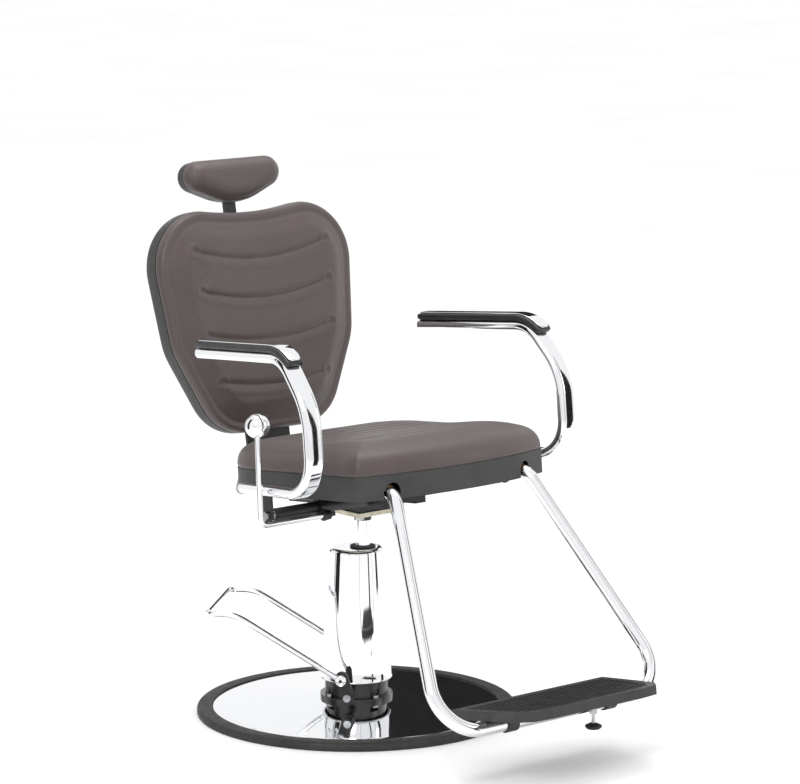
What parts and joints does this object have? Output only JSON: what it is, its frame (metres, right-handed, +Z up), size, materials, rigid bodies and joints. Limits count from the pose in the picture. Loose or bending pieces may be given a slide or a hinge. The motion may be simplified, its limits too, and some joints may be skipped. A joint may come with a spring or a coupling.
{
  "type": "hydraulic barber chair",
  "caption": "Reclining barber chair on a round pedestal: hydraulic lift, full swivel, looped arms, padded seat, back and headrest, footplate.",
  "frame": {"origin": "where the piston rod's axis, about which the chair turns, meets the floor", "axes": "+Z up; the sitter faces -Y; +X is the sitter's left"},
  "size_m": [0.6621, 1.0675, 1.0136],
  "materials": {
    "chrome": "mirror chrome plate",
    "zinc_steel": "bright zinc",
    "mount_zinc": "cream passivated zinc",
    "black_steel": "black powder coat",
    "black_casting": "black painted casting",
    "rubber": "moulded rubber",
    "black_plastic": "fine grained moulding",
    "footplate_plastic": "ribbed moulding",
    "arm_pad_pu": "integral skin foam",
    "plywood": "raw plywood",
    "leatherette": "grained taupe brown leatherette"
  },
  "bodies": {
    "base": {"rubber_ring": "rubber", "base_dish": "chrome", "base_plate": "black_steel", "pump_housing": "black_casting", "housing_bolts": "zinc_steel", "pump_cylinder": "zinc_steel", "gland_nut": "zinc_steel", "pump_cover": "chrome", "rod_wiper": "rubber", "release_valve": "zinc_steel"},
    "piston": {"piston_rod": "chrome", "piston_head": "zinc_steel"},
    "pedal": {"pedal_shaft": "zinc_steel", "pedal_arms": "black_steel", "foot_pedal": "chrome", "pedal_bolts": "black_steel"},
    "plunger": {"pump_plunger": "zinc_steel"},
    "seat": {"seat_collar": "black_plastic", "mount_plate": "mount_zinc", "mount_bolts": "zinc_steel", "seat_frame": "black_steel", "arm_cross_tube": "black_steel", "arm_brackets": "black_steel", "arm_bolts": "zinc_steel", "arm_tube_left": "chrome", "arm_tube_right": "chrome", "arm_pad_left": "arm_pad_pu", "arm_pad_right": "arm_pad_pu", "pad_trim_left": "chrome", "pad_trim_right": "chrome", "seat_pan": "black_plastic", "seat_board": "plywood", "seat_cushion": "leatherette", "board_bolts": "zinc_steel", "footrest_tube": "chrome", "footrest_saddles": "zinc_steel", "footplate": "footplate_plastic", "plate_clamps": "black_steel", "plate_bolts": "zinc_steel", "bumper_stem": "zinc_steel", "rubber_bumper": "rubber", "lever_guide": "black_steel", "gas_cylinder": "black_steel"},
    "lever": {"lever_rod": "chrome", "lever_knob": "chrome", "lever_flag": "black_steel"},
    "release": {"release_pin": "zinc_steel"},
    "gas_rod": {"gas_rod": "zinc_steel"},
    "back": {"hinge_shaft": "zinc_steel", "back_bracket": "black_steel", "back_board": "plywood", "back_shell": "black_plastic", "back_pad": "leatherette", "back_screws": "zinc_steel", "headrest_guide": "black_steel"},
    "headrest": {"headrest_stem": "black_steel", "headrest_shell": "black_plastic", "headrest_pad": "leatherette"}
  },
  "joints": [
    {"name": "lift", "type": "slide", "parent": "base", "child": "piston", "axis": [0, 0, 1], "range_m": [-0.045, 0.105]},
    {"name": "swivel", "type": "hinge", "parent": "piston", "child": "seat", "pos_m": [0, 0, 0.38], "axis": [0, 0, 1], "continuous": true},
    {"name": "pump_pedal", "type": "hinge", "parent": "base", "child": "pedal", "pos_m": [-0.00886, 0.01019, 0.05], "axis": [-0.7547, -0.6561, 0], "range_deg": [0, 25], "stiffness_Nm_per_rad": 8, "springref_deg": -28.65},
    {"name": "pump_stroke", "type": "slide", "parent": "base", "child": "plunger", "axis": [0, 0, -1], "range_m": [0, 0.0149]},
    {"name": "recline_lever", "type": "hinge", "parent": "seat", "child": "lever", "pos_m": [-0.24, -0.09711, 0.412], "axis": [-1, 0, 0], "range_deg": [0, 12], "stiffness_Nm_per_rad": 3, "springref_deg": -14.32},
    {"name": "valve_pin", "type": "slide", "parent": "seat", "child": "release", "axis": [0, 0.9959, -0.0906], "range_m": [0, 0.0058]},
    {"name": "recline", "type": "hinge", "parent": "seat", "child": "back", "pos_m": [0, 0.18523, 0.44705], "axis": [-1, 0, 0], "range_deg": [0, 50]},
    {"name": "gas_stroke", "type": "slide", "parent": "seat", "child": "gas_rod", "axis": [0, -0.9959, 0.0906], "range_m": [0, 0.03053]},
    {"name": "headrest_height", "type": "slide", "parent": "back", "child": "headrest", "axis": [0, 0.1788, 0.9839], "range_m": [0, 0.1]}
  ],
  "couplings": [
    {"joint": "pump_stroke", "follows": "pump_pedal", "m_per_rad": 0.034},
    {"joint": "valve_pin", "follows": "recline_lever", "m_per_rad": 0.0275},
    {"joint": "gas_stroke", "follows": "recline", "m_per_rad": 0.034869}
  ]
}
